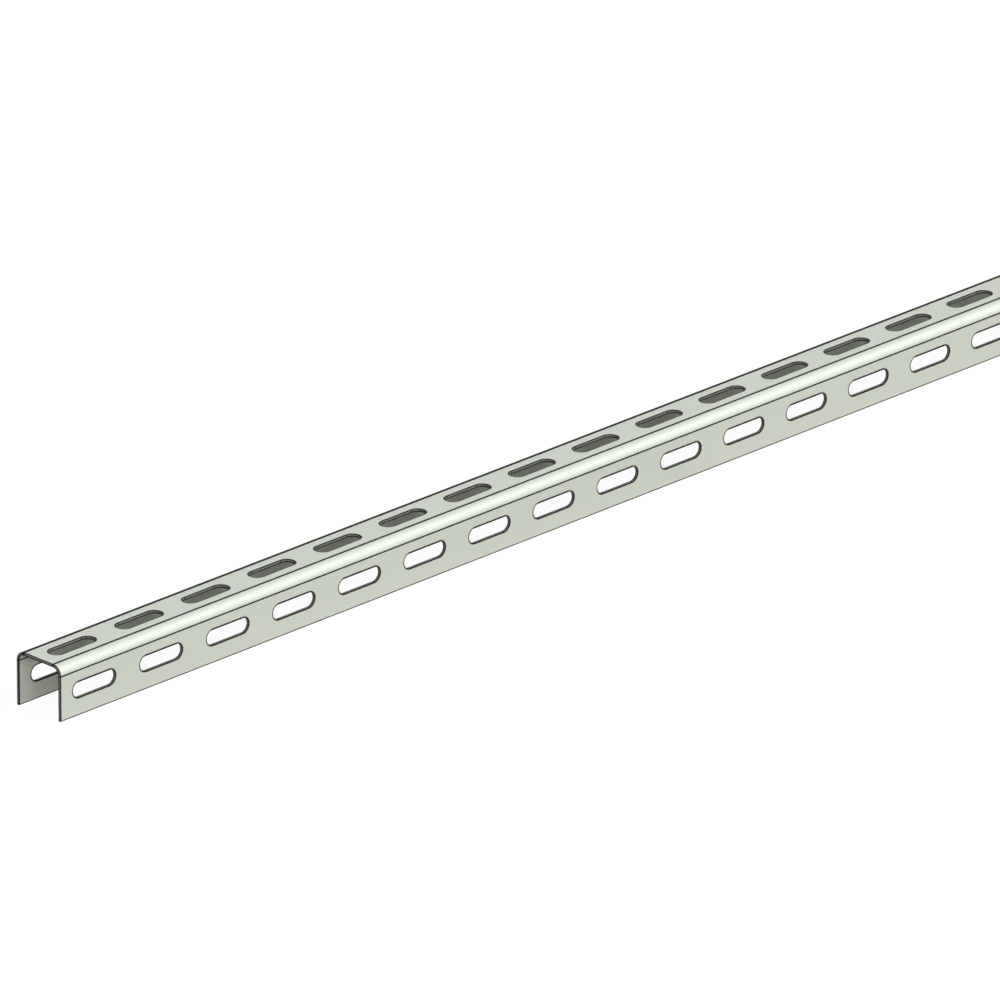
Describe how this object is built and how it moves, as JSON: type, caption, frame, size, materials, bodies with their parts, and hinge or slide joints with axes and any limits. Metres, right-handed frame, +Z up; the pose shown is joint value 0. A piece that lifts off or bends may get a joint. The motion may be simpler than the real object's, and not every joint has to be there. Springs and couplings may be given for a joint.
{
  "type": "strut channel",
  "caption": "Slotted steel strut channel: a plain U folded from sheet, with rounded bends and evenly spaced long slots in line along its web and both legs.",
  "frame": {"origin": "middle of the footprint, on the plane of the two leg edges", "axes": "+X along the length, +Z up through the web, legs pointing down; the front leg is at -Y"},
  "size_m": [1, 0.034, 0.032],
  "materials": {
    "zinc_sheet": "matt zinc-coated sheet steel, pale greenish grey"
  },
  "bodies": {
    "root": {"channel": "zinc_sheet"}
  },
  "joints": []
}
